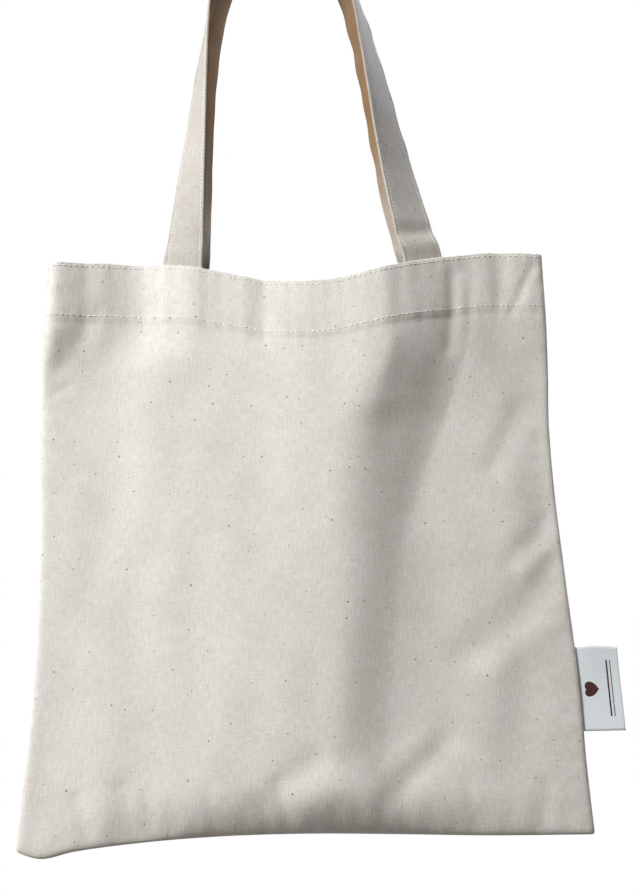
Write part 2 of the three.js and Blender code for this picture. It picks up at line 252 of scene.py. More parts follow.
back_creases = [
    ((62, 352), (50, 70), 24, 3.6),
    ((-48, 352), (-60, 120), 26, 2.8),
    ((-110, 352), (-96, 262), 10, 2.4),
    ((20, 352), (14, 292), 6, 1.7),
    ((112, 330), (146, 262), 7, 1.9),
    ((-150, 190), (-96, 118), 8, 2.0),
    ((148, 130), (92, 84), 8, 1.8),
    ((-40, 60), (-72, 10), 7, 1.8),
    ((70, 52), (96, 8), 6, 1.6),
    ((-118, 26), (-110, -4), 3, 1.2),
    ((-20, 24), (-16, -4), 3, 0.9),
    ((44, 26), (48, -4), 3, 1.1),
    ((112, 28), (118, -4), 3, 1.3),
]

# Slow waves that any hung cloth has: each has its own direction, length and place.
slow_waves = 26
wave_lengths = (24, 95)
wave_tilt, wave_climb = 0.45, 0.5
wave_height = 0.0021
waves_seed = 7


def cloth_waves(face, x, height):
    draw = np.random.default_rng(waves_seed + face)
    total = 0
    for _ in range(slow_waves):
        length = draw.uniform(*wave_lengths)
        angle = draw.normal(0, wave_tilt)
        phase = draw.uniform(0, math.tau)
        run = (x * math.cos(angle) + height * math.sin(angle) * wave_climb) / length
        total = total + wave_height * length * np.sin(math.tau * run + phase)
    return total


# Thread draws the cloth together, so it dips along each row of stitches and puckers beside it.
hem_stitch_height = hem_start + 3
edge_stitch_height = bag_height - 2.5
row_dip, row_dip_width = 0.07, 1.6
pucker_height, pucker_length, pucker_reach = 0.11, 8.5, 9


def uneven_wave(place, length, wobble, wobble_length, start=0):
    """A wave along a seam, longer in some places than in others."""
    return np.sin(math.tau * place / length + wobble * np.sin(place / wobble_length) + start)


def stitch_puckers(x, height):
    total = 0
    for row in (hem_stitch_height, edge_stitch_height):
        distance = height - row
        ripple = uneven_wave(x, pucker_length, 2.1, 23, row)
        total = total + row_dip * bell(distance, row_dip_width)
        total = total + pucker_height * ripple * bell(distance, pucker_reach)
    return total


# The cloth stands out over the turned hem and over the strap ends in it, and puckers at its seams.
hem_swell, hem_swell_rise = 0.7, 2.2
strap_width, strap_thickness = 25, 2.4
strap_spacing = 143
strap_shift = {FRONT: 4, BACK: 6}
strap_swell, strap_swell_edge = 0.3, 5
seam_pucker_height, seam_pucker_length, seam_pucker_reach = 0.12, 13, 12
side_pucker_inset, bottom_pucker_inset = 3, 6


def strap_middle(face, side):
    return strap_shift[face] + side * strap_spacing / 2


def relief(face, u, height):
    """How far the cloth sinks in from the plain swell."""
    x = u * half_width(height)
    total = cloth_waves(face, x, height) + stitch_puckers(x, height)
    for start, end, width, depth in front_creases if face == FRONT else back_creases:
        total = total + crease(x, height, start, end, width, depth)
    in_hem = smooth((height - hem_start + 1) / hem_swell_rise)
    total = total - hem_swell * in_hem
    for side in (LEFT, RIGHT):
        within = strap_width / 2 - np.abs(x - strap_middle(face, side))
        total = total - strap_swell * smooth(within / strap_swell_edge + 0.5) * in_hem
    from_side = half_width(height) * (1 - np.abs(u))
    side_ripple = uneven_wave(height, seam_pucker_length, 1.7, 31)
    bottom_ripple = uneven_wave(x, seam_pucker_length, 1.9, 37)
    ripple = side_ripple * bell(from_side - side_pucker_inset, seam_pucker_reach)
    ripple = ripple + bottom_ripple * bell(height - bottom_pucker_inset, seam_pucker_reach)
    return total + seam_pucker_height * ripple


def inner_depth(face, u, height):
    x = u * half_width(height)
    roll = 1 - np.maximum(0, 1 - height / roll_height) ** roll_power
    swell = front_depth(x, height) if face == FRONT else back_depth(x, height)
    from_side = np.maximum(0, half_width(height) - np.abs(x))
    free = rise_from(from_side, flat_at_seams) * rise_from(height, flat_at_seams)
    depth = swell * roll - relief(face, u, height) * free
    side_puff = puff(from_side) * rise_from(height, seam_puff["corner"])
    bottom_puff = puff(height) * rise_from(from_side, seam_puff["corner"])
    return layer_gap / 2 + (ramp(depth, least_depth) - least_depth / 2) + np.hypot(side_puff, bottom_puff)


def cloth_point(face, u, height, inward):
    """A place on the cloth, some way inside the panel's inner face."""
    u, height = np.broadcast_arrays(np.asarray(u, float), np.asarray(height, float))
    forward, down = lean(u * half_width(height), height)
    y = face * (inner_depth(face, u, height) - inward) - forward
    return np.stack([cloth_x(u, height), y, cloth_z(u, height) - down], axis=-1)


def unit(vectors):
    return vectors / np.linalg.norm(vectors, axis=-1, keepdims=True)


def new_object(name, data):
    """An object in the scene with this mesh, lamp or camera."""
    thing = bpy.data.objects.new(name, data)
    bpy.context.collection.objects.link(thing)
    return thing


def mesh_object(name, points, faces, cloth_map, material):
    """A mesh from points in millimetres. cloth_map gives each point's place on the flat cloth."""
    mesh = bpy.data.meshes.new(name)
    mesh.from_pydata((points * MM).tolist(), [], faces)
    corners = np.empty(len(mesh.loops), np.int32)
    mesh.loops.foreach_get("vertex_index", corners)
    layer = mesh.uv_layers.new(name="cloth")
    layer.data.foreach_set("uv", (cloth_map[corners] * MM).astype(np.float32).ravel())
    work = bmesh.new()
    work.from_mesh(mesh)
    bmesh.ops.recalc_face_normals(work, faces=work.faces)
    work.to_mesh(mesh)
    work.free()
    mesh.polygons.foreach_set("use_smooth", np.ones(len(mesh.polygons), bool))
    mesh.materials.append(material)
    return new_object(name, mesh)


def closed_grid(skins):
    """Faces that close two grids of the same shape, one on each side of a sheet."""
    rows, columns = skins[0].shape[:2]
    index = np.arange(2 * rows * columns).reshape(2, rows, columns)
    faces = []
    for layer in index:
        quads = np.stack([layer[:-1, :-1], layer[:-1, 1:], layer[1:, 1:], layer[1:, :-1]], axis=-1)
        faces.extend(quads.reshape(-1, 4).tolist())
    rim = [index[:, 0, :], index[:, 1:, -1], index[:, -1, -2::-1], index[:, -2:0:-1, 0]]
    rim = np.concatenate(rim, axis=1)
    after = np.roll(rim, -1, axis=1)
    faces.extend(np.stack([rim[0], after[0], after[1], rim[1]], axis=-1).tolist())
    return faces


def grid_normals(grid):
    along = np.gradient(grid, axis=0)
    across = np.gradient(grid, axis=1)
    return unit(np.cross(across, along))


def linear_colour(code):
    """An sRGB hex colour as linear RGBA."""
    channels = [int(code[i : i + 2], 16) / 255 for i in (1, 3, 5)]
    return [c / 12.92 if c <= 0.04045 else ((c + 0.055) / 1.055) ** 2.4 for c in channels] + [1]


def add_node(tree, kind, inputs=None, **settings):
    """A node with its settings, its inputs set to values or linked to nodes or sockets."""
    node = tree.nodes.new(kind)
    for name, value in settings.items():
        setattr(node, name, value)
    for key, value in (inputs or {}).items():
        socket = node.inputs[key]
        if isinstance(key, str):
            socket = next(s for s in node.inputs if s.enabled and s.name == key)
        if isinstance(value, bpy.types.Node):
            value = next(s for s in value.outputs if s.enabled)
        if isinstance(value, bpy.types.NodeSocket):
            tree.links.new(value, socket)
        else:
            socket.default_value = value
    return node


def new_material(name):
    material = bpy.data.materials.new(name)
    material.use_nodes = True
    material.node_tree.nodes.clear()
    return material, material.node_tree


# Unbleached cotton canvas, plain woven, with uneven threads, short thick slubs both ways, brown flecks
# of seed husk and a faint dry sheen. Real threads are 0.5 mm apart, and real flecks up to 1 mm across.
# They are drawn 0.9 mm apart, and up to 1.6 mm across with a soft edge, because finer ones don't show.
thread_spacing = 0.9
drift_spacing, drift_reach = 12.5, 1.4
slub_length, slub_width = 5.5, 1.15
weave_tone, slub_tone, least_tone = 0.035, 0.6, 0.28
patch_spacing = 20
fleck_spacing, fleck_radius, fleck_share = 11, 0.8, 0.6
weave_depth = 0.16


def canvas_material(name, thread_colour, gap_colour, warm_colour, painted_shade_colour=None):
    """Canvas from the colours of its threads, the gaps, the warm yarn and a painted warm shade for inner
    faces.
    """
    material, tree = new_material(name)
    cloth = add_node(tree, "ShaderNodeUVMap", uv_map="cloth")
    flat = add_node(tree, "ShaderNodeVectorMath", {0: cloth, 1: (1 / MM, 1 / MM, 0)}, operation="MULTIPLY")
    noise = add_node(tree, "ShaderNodeTexNoise", {"Vector": flat, "Scale": 1 / drift_spacing, "Detail": 2.0})
    pull = {0: noise.outputs["Color"], 1: (drift_reach, drift_reach, 0)}
    drift = add_node(tree, "ShaderNodeVectorMath", pull, operation="MULTIPLY")
    place = add_node(tree, "ShaderNodeVectorMath", {0: flat, 1: drift}, operation="ADD")

    # Warp and weft: each thread is a row of humps, and the two take turns on top.
    split = add_node(tree, "ShaderNodeSeparateXYZ", {0: place}).outputs
    humps, cells = [], []
    for axis in (0, 1):
        count = add_node(tree, "ShaderNodeMath", {0: split[axis], 1: thread_spacing}, operation="DIVIDE")
        turn = add_node(tree, "ShaderNodeMath", {0: count, 1: math.pi}, operation="MULTIPLY")
        wave = add_node(tree, "ShaderNodeMath", {0: turn}, operation="SINE")
        humps.append(add_node(tree, "ShaderNodeMath", {0: wave}, operation="ABSOLUTE"))
        cells.append(add_node(tree, "ShaderNodeMath", {0: count}, operation="FLOOR"))
    both = add_node(tree, "ShaderNodeMath", {0: cells[0], 1: cells[1]}, operation="ADD")
    on_top = add_node(tree, "ShaderNodeMath", {0: both, 1: 2.0}, operation="FLOORED_MODULO")
    threads = []
    for axis in (0, 1):
        length = add_node(tree, "ShaderNodeMath", {0: humps[1 - axis], 1: 0.4}, operation="POWER")
        threads.append(add_node(tree, "ShaderNodeMath", {0: humps[axis], 1: length}, operation="MULTIPLY"))
    weave = add_node(tree, "ShaderNodeMix", {"Factor": on_top, "A": threads[0], "B": threads[1]})

    # Slubs are long along their own threads. They are lighter, and stand a little higher.
    slubs = []
    for stretch in ((1 / slub_length, 1 / slub_width, 0), (1 / slub_width, 1 / slub_length, 0)):
        run = add_node(tree, "ShaderNodeVectorMath", {0: place, 1: stretch}, operation="MULTIPLY")
        slub = add_node(tree, "ShaderNodeTexNoise", {"Vector": run, "Scale": 1.0, "Detail": 2.0})
        slubs.append(slub.outputs["Fac"])
    slub = add_node(tree, "ShaderNodeMath", {0: slubs[0], 1: 0.7, 2: slubs[1]}, operation="MULTIPLY_ADD")
    slub = add_node(tree, "ShaderNodeMapRange", {"Value": slub, "From Min": 0.65, "From Max": 1.09})
    tone = add_node(tree, "ShaderNodeMath", {0: weave, 1: weave_tone}, operation="MULTIPLY")
    tone = add_node(tree, "ShaderNodeMath", {0: slub, 1: slub_tone, 2: tone}, operation="MULTIPLY_ADD")
    tone = add_node(tree, "ShaderNodeMath", {0: tone, 1: least_tone}, operation="ADD", use_clamp=True)
    mix = {"Factor": tone, "A": linear_colour(gap_colour), "B": linear_colour(thread_colour)}
    colour = add_node(tree, "ShaderNodeMix", mix, data_type="RGBA")

    # Some yarn is warmer than the rest, in soft patches 10 to 30 mm across.
    noise = add_node(tree, "ShaderNodeTexNoise", {"Vector": flat, "Scale": 1 / patch_spacing, "Detail": 4.0})
    patch = {"Value": noise.outputs["Fac"], "From Min": 0.4, "From Max": 0.65}
    tints = [(add_node(tree, "ShaderNodeMapRange", patch), warm_colour)]
    # Inner faces get a painted warm brown shade, multiplied in where the mesh marks them.
    if painted_shade_colour:
        painted_shade = add_node(tree, "ShaderNodeAttribute", attribute_name="painted_shade").outputs["Fac"]
        tints.append((painted_shade, painted_shade_colour))
    for share, tint in tints:
        mix = {"Factor": share, "A": colour, "B": linear_colour(tint)}
        colour = add_node(tree, "ShaderNodeMix", mix, data_type="RGBA", blend_type="MULTIPLY")

    # Flecks: in some cells of a random pattern, a spot of random size and strength.
    cells = {"Vector": flat, "Scale": 1 / fleck_spacing}
    spots = add_node(tree, "ShaderNodeTexVoronoi", cells, voronoi_dimensions="2D").outputs
    draw = add_node(tree, "ShaderNodeSeparateColor", {0: spots["Color"]}).outputs
    largest = fleck_radius / fleck_spacing
    radius = {"Value": draw[1], "To Min": 0.3 * largest, "To Max": largest}
    radius = add_node(tree, "ShaderNodeMapRange", radius)
    spot = {"Value": spots["Distance"], "From Min": radius, "From Max": 0.0, "To Max": 1.5}
    inside = add_node(tree, "ShaderNodeMapRange", spot)
    chosen = add_node(tree, "ShaderNodeMath", {0: draw[0], 1: fleck_share}, operation="LESS_THAN")
    strength = add_node(tree, "ShaderNodeMapRange", {"Value": draw[2], "To Min": 0.15, "To Max": 0.95})
    chosen = add_node(tree, "ShaderNodeMath", {0: chosen, 1: strength}, operation="MULTIPLY")
    fleck = add_node(tree, "ShaderNodeMath", {0: inside, 1: chosen}, operation="MULTIPLY", use_clamp=True)
    mix = {"Factor": fleck, "A": colour, "B": linear_colour("#5e4a38")}
    colour = add_node(tree, "ShaderNodeMix", mix, data_type="RGBA")

    height = add_node(tree, "ShaderNodeMath", {0: weave, 1: 0.1, 2: slub}, operation="MULTIPLY_ADD")
    bump = {"Height": height, "Strength": 0.33, "Distance": weave_depth * MM}
    surface = {"Base Color": colour, "Normal": add_node(tree, "ShaderNodeBump", bump), "Roughness": 0.93}
    surface.update({"IOR": 1.5, "Specular IOR Level": 0.25, "Sheen Weight": 0.1, "Sheen Roughness": 0.6})
    shader = add_node(tree, "ShaderNodeBsdfPrincipled", surface)
    add_node(tree, "ShaderNodeOutputMaterial", {"Surface": shader})
    return material


natural_canvas = canvas_material("unbleached_cotton_canvas", "#f0eeea", "#d8d6d1", "#fbf9f5")

# Rows and columns of the cloth's grid. They crowd at the seams, the roll and the turned edge.
grid_step = 1.9
hem_step = 1.5 * grid_step
roll_extra_rows = 6
edge_steps = (0, 0.15, 0.4, 0.8, 1.3, 2.0, 2.9, 4.2)
lip = 1.0
thinnest = 0.2
turn_radius = (cloth_thickness + layer_gap) / 2
turn_steps = 8
turned_end_inset = 3
turned_end_distance = 5


def panel_columns():
    half = bag_width / 2
    inner = np.linspace(-half + edge_steps[-1], half - edge_steps[-1], int(bag_width / grid_step))
    ends = half - np.array(edge_steps[:-1])
    return np.concatenate([-ends, inner, ends[::-1]]) / half


def panel_rows():
    """Height, inward shift, share of the turn and travel of each row, from the bottom up."""
    turn_height = bag_height - turn_radius - cloth_thickness / 2
    angles = np.linspace(0, math.pi / 2, int(roll_height / grid_step) + roll_extra_rows)
    rolled = roll_height * (1 - np.cos(angles))
    straight = np.linspace(roll_height, turn_height, int((turn_height - roll_height) / grid_step))
    up = np.concatenate([rolled[:-1], straight])
    around = np.linspace(0, math.pi, turn_steps + 1)[1:-1]
    down = np.linspace(turn_height, hem_start, int(hem_depth / hem_step))
    heights = np.concatenate([up, turn_height + turn_radius * np.sin(around), down])
    inward = np.concatenate([0 * up, turn_radius * (1 - np.cos(around)), 0 * down + 2 * turn_radius])
    share = np.concatenate([0 * up, around / math.pi, 0 * down + 1])
    travel = np.concatenate([up, turn_height + turn_radius * around, 2 * turn_height - down])
    return heights, inward, share, travel


def edge_thickness(distance):
    """The cloth's two faces meet in a rounded lip at a seam."""
    inside = np.clip(1 - distance / lip, 0, 1)
    return np.maximum(thinnest, np.sqrt(1 - inside * inside))


# The side seams hold the cloth's edges still while the mouth opens, and the cloth turns with the mouth
# from about 57 mm in. So each panel is made in three parts that meet edge to edge: two sides that
# stay in place, and a middle that the mouth carries.
PARTS = {"left": -1, "middle": 0, "right": 1}
part_join = 96


def part_name(face, part, what):
    name = FACE_NAMES[face]
    return f"{name}_{what}" if part == "middle" else f"{name}_{part}_side_{what}"


def follow_mouth(piece, face, part):
    if part == "middle":
        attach(piece, FACE_NAMES[face])
        return
    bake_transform(piece)


def sheet_mesh(name, skins, maps, material):
    """A sheet with two skins, each a grid of points with a grid of places on the flat cloth."""
    points = np.concatenate([skin.reshape(-1, 3) for skin in skins])
    maps = np.concatenate([grid.reshape(-1, 2) for grid in maps])
    return mesh_object(name, points, closed_grid(skins), maps, material)


def panel_cloth(face):
    u = panel_columns()
    heights, inward, share, travel = panel_rows()
    turned_share = (half_width(bag_height) - turned_end_inset) / half_width(bag_height)
    grid_u = u[None, :] * blend_of(1, turned_share, share)[:, None]
    middle = cloth_point(face, grid_u, heights[:, None], (inward - cloth_thickness / 2)[:, None])
    normals = grid_normals(middle)
    side_distance = (1 - np.abs(u))[None, :] * bag_width / 2 + turned_end_distance * share[:, None]
    thickness = cloth_thickness * edge_thickness(side_distance) * edge_thickness(travel)[:, None]
    shift = normals * thickness[..., None] / 2
    skins = [middle - shift, middle + shift]
    cloth_map = np.stack(np.broadcast_arrays(u[None, :] * bag_width / 2, travel[:, None]), axis=-1)
    maps = [cloth_map, cloth_map]
    whole = sheet_mesh("whole_panel", skins, maps, natural_canvas)
    normals = np.empty(2 * grid_u.size * 3)
    whole.data.vertices.foreach_get("normal", normals)
    normals = normals.reshape(2, *grid_u.shape, 3)
    bpy.data.objects.remove(whole)

    # The parts keep the whole panel's normals, so that no line shows where they meet.
    join = np.argmin(np.abs(u - part_join / (bag_width / 2)))
    last = len(u) - 1
    columns = {"left": slice(0, last - join + 1), "middle": slice(last - join, join + 1)}
    columns["right"] = slice(join, None)
    pieces = {}
    for part, kept in columns.items():
        part_skins = [skin[:, kept] for skin in skins]
        part_maps = [cloth_map[:, kept] for cloth_map in maps]
        piece = sheet_mesh(part_name(face, part, "canvas"), part_skins, part_maps, natural_canvas)
        piece.data.normals_split_custom_set_from_vertices(normals[:, :, kept].reshape(-1, 3).tolist())
        pieces[part] = piece
    return pieces


for face in (FRONT, BACK):
    name = FACE_NAMES[face]
    for part, cloth in panel_cloth(face).items():
        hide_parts(f"{name}_panel", f"{name}_hem_turning")
        follow_mouth(cloth, face, part)

# Inside the bag the raw edges of the two panels lie together along each side and the bottom. They
# are cut from the same canvas, 8 mm wide, and wave a little where the overlock thread pulls them.

seam_inset, seam_allowance, seam_end_gap = 2.2, 8, 2
allowance_thickness = 2 * cloth_thickness
edge_wave, edge_wave_length = 0.35, 17
overlock_width = 1.2


def rounded_bar(width, thickness, steps=5):
    """The outline of a flat bar with round edges, as (across, out) pairs."""
    radius = thickness / 2
    ends = []
    for way in (1, -1):
        angles = np.linspace(-math.pi / 2, math.pi / 2, steps) * way
        x = way * (width / 2 - radius + radius * np.cos(angles))
        ends.append(np.stack([x, radius * np.sin(angles)], axis=-1))
    flat = np.linspace(-1, 1, steps + 2)[1:-1] * (width / 2 - radius)
    top = np.stack([-flat, 0 * flat + radius], axis=-1)
    bottom = np.stack([flat, 0 * flat - radius], axis=-1)
    return np.concatenate([ends[0], top, ends[1], bottom])


def loft(rings, ring_map, along):
    """Points, faces and cloth map of a tube through rings of points, closed at both ends."""
    count, sides = rings.shape[:2]
    index = np.arange(count * sides).reshape(count, sides)
    around = np.roll(index, -1, axis=1)
    quads = np.stack([index[:-1], around[:-1], around[1:], index[1:]], axis=-1).reshape(-1, 4)
    faces = quads.tolist() + [index[0].tolist(), index[-1][::-1].tolist()]
    maps = np.stack(np.broadcast_arrays(ring_map[None, :], along[:, None]), axis=-1)
    return rings.reshape(-1, 3), faces, maps.reshape(-1, 2)


def side_seam_middle(side, height, inset):
    edge = side * (half_width(height) + wander(side, height))
    wave = edge_wave * np.sin(math.tau * height / edge_wave_length + side) * inset / seam_allowance
    forward, down = lean(edge, height)
    z = cloth_z(np.full_like(height, side), height) - down
    return np.stack([edge - side * inset, wave - forward, z], axis=-1)


def bottom_seam_middle(x, inset):
    wave = edge_wave * np.sin(math.tau * x / edge_wave_length) * inset / seam_allowance
    return np.stack([x, wave, cloth_z(x / half_width(0), np.zeros_like(x)) + inset], axis=-1)


seam_section = rounded_bar(seam_allowance, allowance_thickness)
seam_step = 2.5
seam_bottom = seam_inset + seam_allowance + overlock_width + 2 * seam_end_gap
side_heights = np.arange(seam_bottom, hem_start - seam_end_gap, seam_step)
bottom_end = bag_width / 2 - seam_allowance - 2 * seam_end_gap
bottom_places = np.arange(-bottom_end, bottom_end, seam_step)

# Each seam: the line along its middle, at some way in from the edge, and the places along it.
seams = {
    "left": (lambda height, inset: side_seam_middle(LEFT, height, inset), side_heights),
    "right": (lambda height, inset: side_seam_middle(RIGHT, height, inset), side_heights),
    "bottom": (bottom_seam_middle, bottom_places),
}
for name, (middle_of, places) in seams.items():
    rings = []
    for across, out in seam_section:
        line = middle_of(places, seam_inset + seam_allowance / 2 + across)
        rings.append(line + np.array([0, out, 0]))
    points, faces, maps = loft(np.stack(rings, axis=1), seam_section[:, 0], places)
    node = "bottom_seam" if name == "bottom" else f"{name}_side_seam"
    strip = mesh_object(f"{node}_cloth", points, faces, maps, natural_canvas)
    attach(strip, "seams")
    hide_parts(node)

# Each handle is one strap of the same canvas, folded to four layers, pressed, and sewn along both
# edges. Its two ends are sewn inside the hem. Its legs rise, turn edge-on and meet level at the
# crown. Its inner face is painted with a warm brown shade, a little near the hem and most at the crown.

strap_end_inset = 1.2
strap_inward = 2 * layer_gap + cloth_thickness + strap_thickness / 2
crown_flat = 16
leg_settle_rise = 60
legs = {
    (FRONT, LEFT): {"lean": 17.5, "reach": 0.63, "shoulder": 50, "turn_rise": 189, "turn_power": 0.7},
    (FRONT, RIGHT): {"lean": -25, "reach": 0.38, "shoulder": 37, "turn_rise": 240, "turn_power": 0.95},
    (BACK, LEFT): {"lean": 8, "reach": 0.47, "shoulder": 47, "turn_rise": 240, "turn_power": 0.52},
    (BACK, RIGHT): {"lean": -22, "reach": 0.34, "shoulder": 38, "turn_rise": 240, "turn_power": 0.71},
}
strap_step = 1.6


def place_at(face, x, height, inward):
    return cloth_point(face, x / half_width(height), height, inward)


def plain_place_at(face, x, height, inward):
    """The same place, evened out over the strap's width, where the stiff strap lies."""
    steps = np.linspace(-strap_width / 2, strap_width / 2, 9)
    points = np.stack([place_at(face, x + step, height, inward) for step in steps])
    return points.mean(axis=0)


def strap_edges(face, side, height, inward):
    """Places at the strap's left and right edges."""
    middle = strap_middle(face, side)
    return [plain_place_at(face, middle + way * strap_width / 2, height, inward) for way in (-1, 1)]


def travelled(line):
    """How far along a line each of its points is."""
    return np.concatenate([[0], np.cumsum(np.linalg.norm(np.diff(line, axis=0), axis=1))])


def leg_line(face, side):
    """Middle and across vector of a leg, from the hem to the crown."""
    leg = legs[(face, side)]
    base = plain_place_at(face, strap_middle(face, side), float(bag_height), strap_inward)
    crown_z = strap_thickness / 2
    rise = crown_z - base[2]
    crown = np.array([side * crown_flat / 2, 0, crown_z])
    controls = [
        np.array([base[0], 0, base[2]]),
        np.array([base[0] + leg["lean"], 0, base[2] + rise * leg["reach"]]),
        crown + np.array([side * leg["shoulder"], 0, 0]),
        crown,
    ]
    t = np.linspace(0, 1, 2000)[:, None]
    weights = [(1 - t) ** 3, 3 * (1 - t) ** 2 * t, 3 * (1 - t) * t**2, t**3]
    line = sum(weight * control for weight, control in zip(weights, controls))
    travel = travelled(line)
    places = np.linspace(0, travel[-1], int(travel[-1] / strap_step))
    line = np.stack([np.interp(places, travel, line[:, axis]) for axis in range(3)], axis=-1)
    along = unit(np.gradient(line, axis=0)) * -side
    left, right = strap_edges(face, side, float(bag_height), 0)
    base_turn = math.asin(np.clip(side * (abs(left[1]) - abs(right[1])) / strap_width, -1, 1))
    climb = line[:, 2] - top_z
    share = np.clip(climb / leg["turn_rise"], 0, 1) ** leg["turn_power"]
    turn = blend_of(base_turn, math.pi / 2, share)
    crown_y = face * (strap_width / 2 + layer_gap)
    line[:, 1] = blend_of(base[1], crown_y, smooth(climb / leg_settle_rise))
    edge_on, square_on = face * np.sin(turn), np.cos(turn)
    across = np.stack([along[:, 2] * square_on, edge_on, -along[:, 0] * square_on], axis=-1)
    return line, unit(across)


def sewn_line(face, side):
    """The part of the strap inside the hem, from its end up to the edge."""
    heights = np.arange(hem_start + strap_end_inset, bag_height, strap_step)
    middle = plain_place_at(face, strap_middle(face, side), heights, strap_inward)
    left, right = strap_edges(face, side, heights, strap_inward)
    return middle, unit(right - left) * -side


def soften(values, reach):
    """A moving average that keeps the ends."""
    padded = np.concatenate([values[:1].repeat(reach, 0), values, values[-1:].repeat(reach, 0)])
    window = np.ones(2 * reach + 1) / (2 * reach + 1)
    return np.stack([np.convolve(padded[:, k], window, "valid") for k in range(values.shape[1])], axis=-1)


# The strap sits in the hem's sag. Its right leg buckles just above the hem, and its left one a
# little. The back strap is slightly wavy, the front one and the left legs less so.
hem_drop = 9
buckle_rise, buckle_reach, buckle_depth = 19, 5, 1.1
bulge_rise, bulge_reach, bulge_height = 9, 6, 0.9
left_buckle_share, left_sway_share = 0.35, 0.3
sway = {"length": 47, "second": 0.62, "width": 0.3, "depth": 0.4, "rise": 25, "ends": 60}
sway_share = {FRONT: 0.2, BACK: 1}
soften_reach = 4


def strap_frames(face):
    """Middle, across, out and travel along the whole strap, from its left end to its right end."""
    lines, acrosses, rises = [], [], []
    for side in (LEFT, RIGHT):
        sewn, sewn_across = sewn_line(face, side)
        leg, leg_across = leg_line(face, side)
        line = np.concatenate([sewn, leg])
        across = np.concatenate([sewn_across, leg_across])
        rise = line[:, 2] - (top_z - hem_drop)
        if side == RIGHT:
            line, across, rise = line[::-1], across[::-1], rise[::-1]
        lines.append(line)
        acrosses.append(across)
        rises.append(rise)
    line = soften(np.concatenate(lines), soften_reach)
    across = unit(soften(np.concatenate(acrosses), soften_reach))
    rise = np.concatenate(rises)
    right_leg = np.concatenate([np.zeros(len(lines[0])), np.ones(len(lines[1]))])
    travel = travelled(line)
    along = unit(np.gradient(line, axis=0))
    across = unit(across - along * (across * along).sum(1, keepdims=True))
    out = np.cross(across, along) if face == FRONT else np.cross(along, across)

    free = smooth(rise / sway["rise"])
    free = free * smooth((travel[-1] - travel) / sway["ends"]) * smooth(travel / sway["ends"])
    amount = free * sway_share[face] * blend_of(left_sway_share, 1.0, right_leg)
    wave = np.sin(math.tau * travel / sway["length"] + face)
    second = np.sin(math.tau * travel / (sway["length"] * sway["second"]) + 1 + face)
    line = line + across * (sway["width"] * amount * wave)[:, None]
    line = line + out * (sway["depth"] * amount * second)[:, None]
    buckle = -buckle_depth * bell(rise - buckle_rise, buckle_reach)
    buckle = buckle + bulge_height * bell(rise - bulge_rise, bulge_reach)
    line = line + out * (buckle * blend_of(left_buckle_share, 1.0, right_leg) * (rise > 0))[:, None]
    return line, across, out, travel


strap_row_inset = 2.5
strap_row = strap_width / 2 - strap_row_inset
row_groove, row_groove_width = 0.32, 1.1
pillow_height = 0.12
slit_depth, slit_width = 0.3, 0.35
flat_steps, round_steps = 22, 7


def strap_section():
    """Across and out of each point round the strap: pinched at its rows, with a slit at one edge."""
    half, radius = strap_width / 2, strap_thickness / 2
    flat = np.linspace(-half + radius, half - radius, flat_steps)
    pinch = row_groove * bell(np.abs(flat) - strap_row, row_groove_width)
    pillow = pillow_height * np.cos(flat / half * math.pi / 2)
    level = radius - pinch + pillow
    angles = np.linspace(math.pi / 2, -math.pi / 2, round_steps + 2)[1:-1]
    slit = slit_depth * bell(angles, slit_width)
    right = np.stack([half - radius + (radius - slit) * np.cos(angles), radius * np.sin(angles)], axis=-1)
    left = np.stack([-half + radius - radius * np.cos(angles), -radius * np.sin(angles)], axis=-1)
    top = np.stack([flat, level], axis=-1)
    bottom = np.stack([flat[::-1], -level[::-1]], axis=-1)
    return np.concatenate([top, right, bottom, left])


# The straps' canvas is drawn darker than the panels' canvas, as painted shade over the whole strap.
strap_canvas_painted_darker = canvas_material("strap_canvas_with_painted_shade", "#d2cfca", "#b8b4ad", "#fbf8f5", "#b3926c")
# How strongly the painted warm shade lies on the inner face: less near the hem, full towards the crown.
hem_painted_shade_share, painted_shade_rise, painted_shade_edge = 0.3, 110, 2.4


def follow_handle(piece):
    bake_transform(piece)


def set_attribute(mesh, name, kind, key, values):
    """A value for each point of a mesh, for a material or a node tree to read."""
    layer = mesh.attributes.new(name, kind, "POINT")
    layer.data.foreach_set(key, np.asarray(values, np.float32).ravel())


for face in (FRONT, BACK):
    name = FACE_NAMES[face]
    line, across, out, travel = strap_frames(face)
    section = strap_section()
    rings = line[:, None] + across[:, None] * section[None, :, :1] + out[:, None] * section[None, :, 1:]
    side_of_fold = section[:, 0] + np.where(section[:, 1] < 0, 3 * strap_width, 0)
    points, faces, maps = loft(rings, side_of_fold, travel)
    strap = mesh_object(f"{name}_strap", points, faces, maps, strap_canvas_painted_darker)
    # Painted warm brown shade on the strap's inner face, growing from the hem towards the crown.
    painted_shade_side = smooth(0.5 - section[:, 1] / strap_thickness * painted_shade_edge)
    share = blend_of(hem_painted_shade_share, 1, smooth((line[:, 2] - top_z) / painted_shade_rise))
    set_attribute(strap.data, "painted_shade", "FLOAT", "value", np.outer(share, painted_shade_side))
    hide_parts(f"{name}_handle", f"{name}_left_strap_end", f"{name}_right_strap_end")
    follow_handle(strap)

# Every row is sewn with cream spun thread, lock-stitched, so that each stitch is a short arch of
# thread that dips into the cloth at both ends. The hem has two rows, each strap has two, and the
# strap ends and the seams are sewn inside.

stitch_sizes = {"Pitch": 3.1 * MM, "Stitch Length": 2.1 * MM, "Thread Width": 0.6 * MM, "Rise": 0.2 * MM}
seam_stitch_sizes = {**stitch_sizes, "Pitch": 2.9 * MM}
strap_stitch_sizes = {**stitch_sizes, "Pitch": 2.4 * MM, "Stitch Length": 1.8 * MM}
strap_stitch_sizes["Thread Width"] = 0.5 * MM
arch_dip, arch_top = -1.1, 1.6
slant_limit = 0.09
row_lift, inner_row_sink = 0.01, 0.3
fibre_scale, twist_scale = 0.9, 0.42


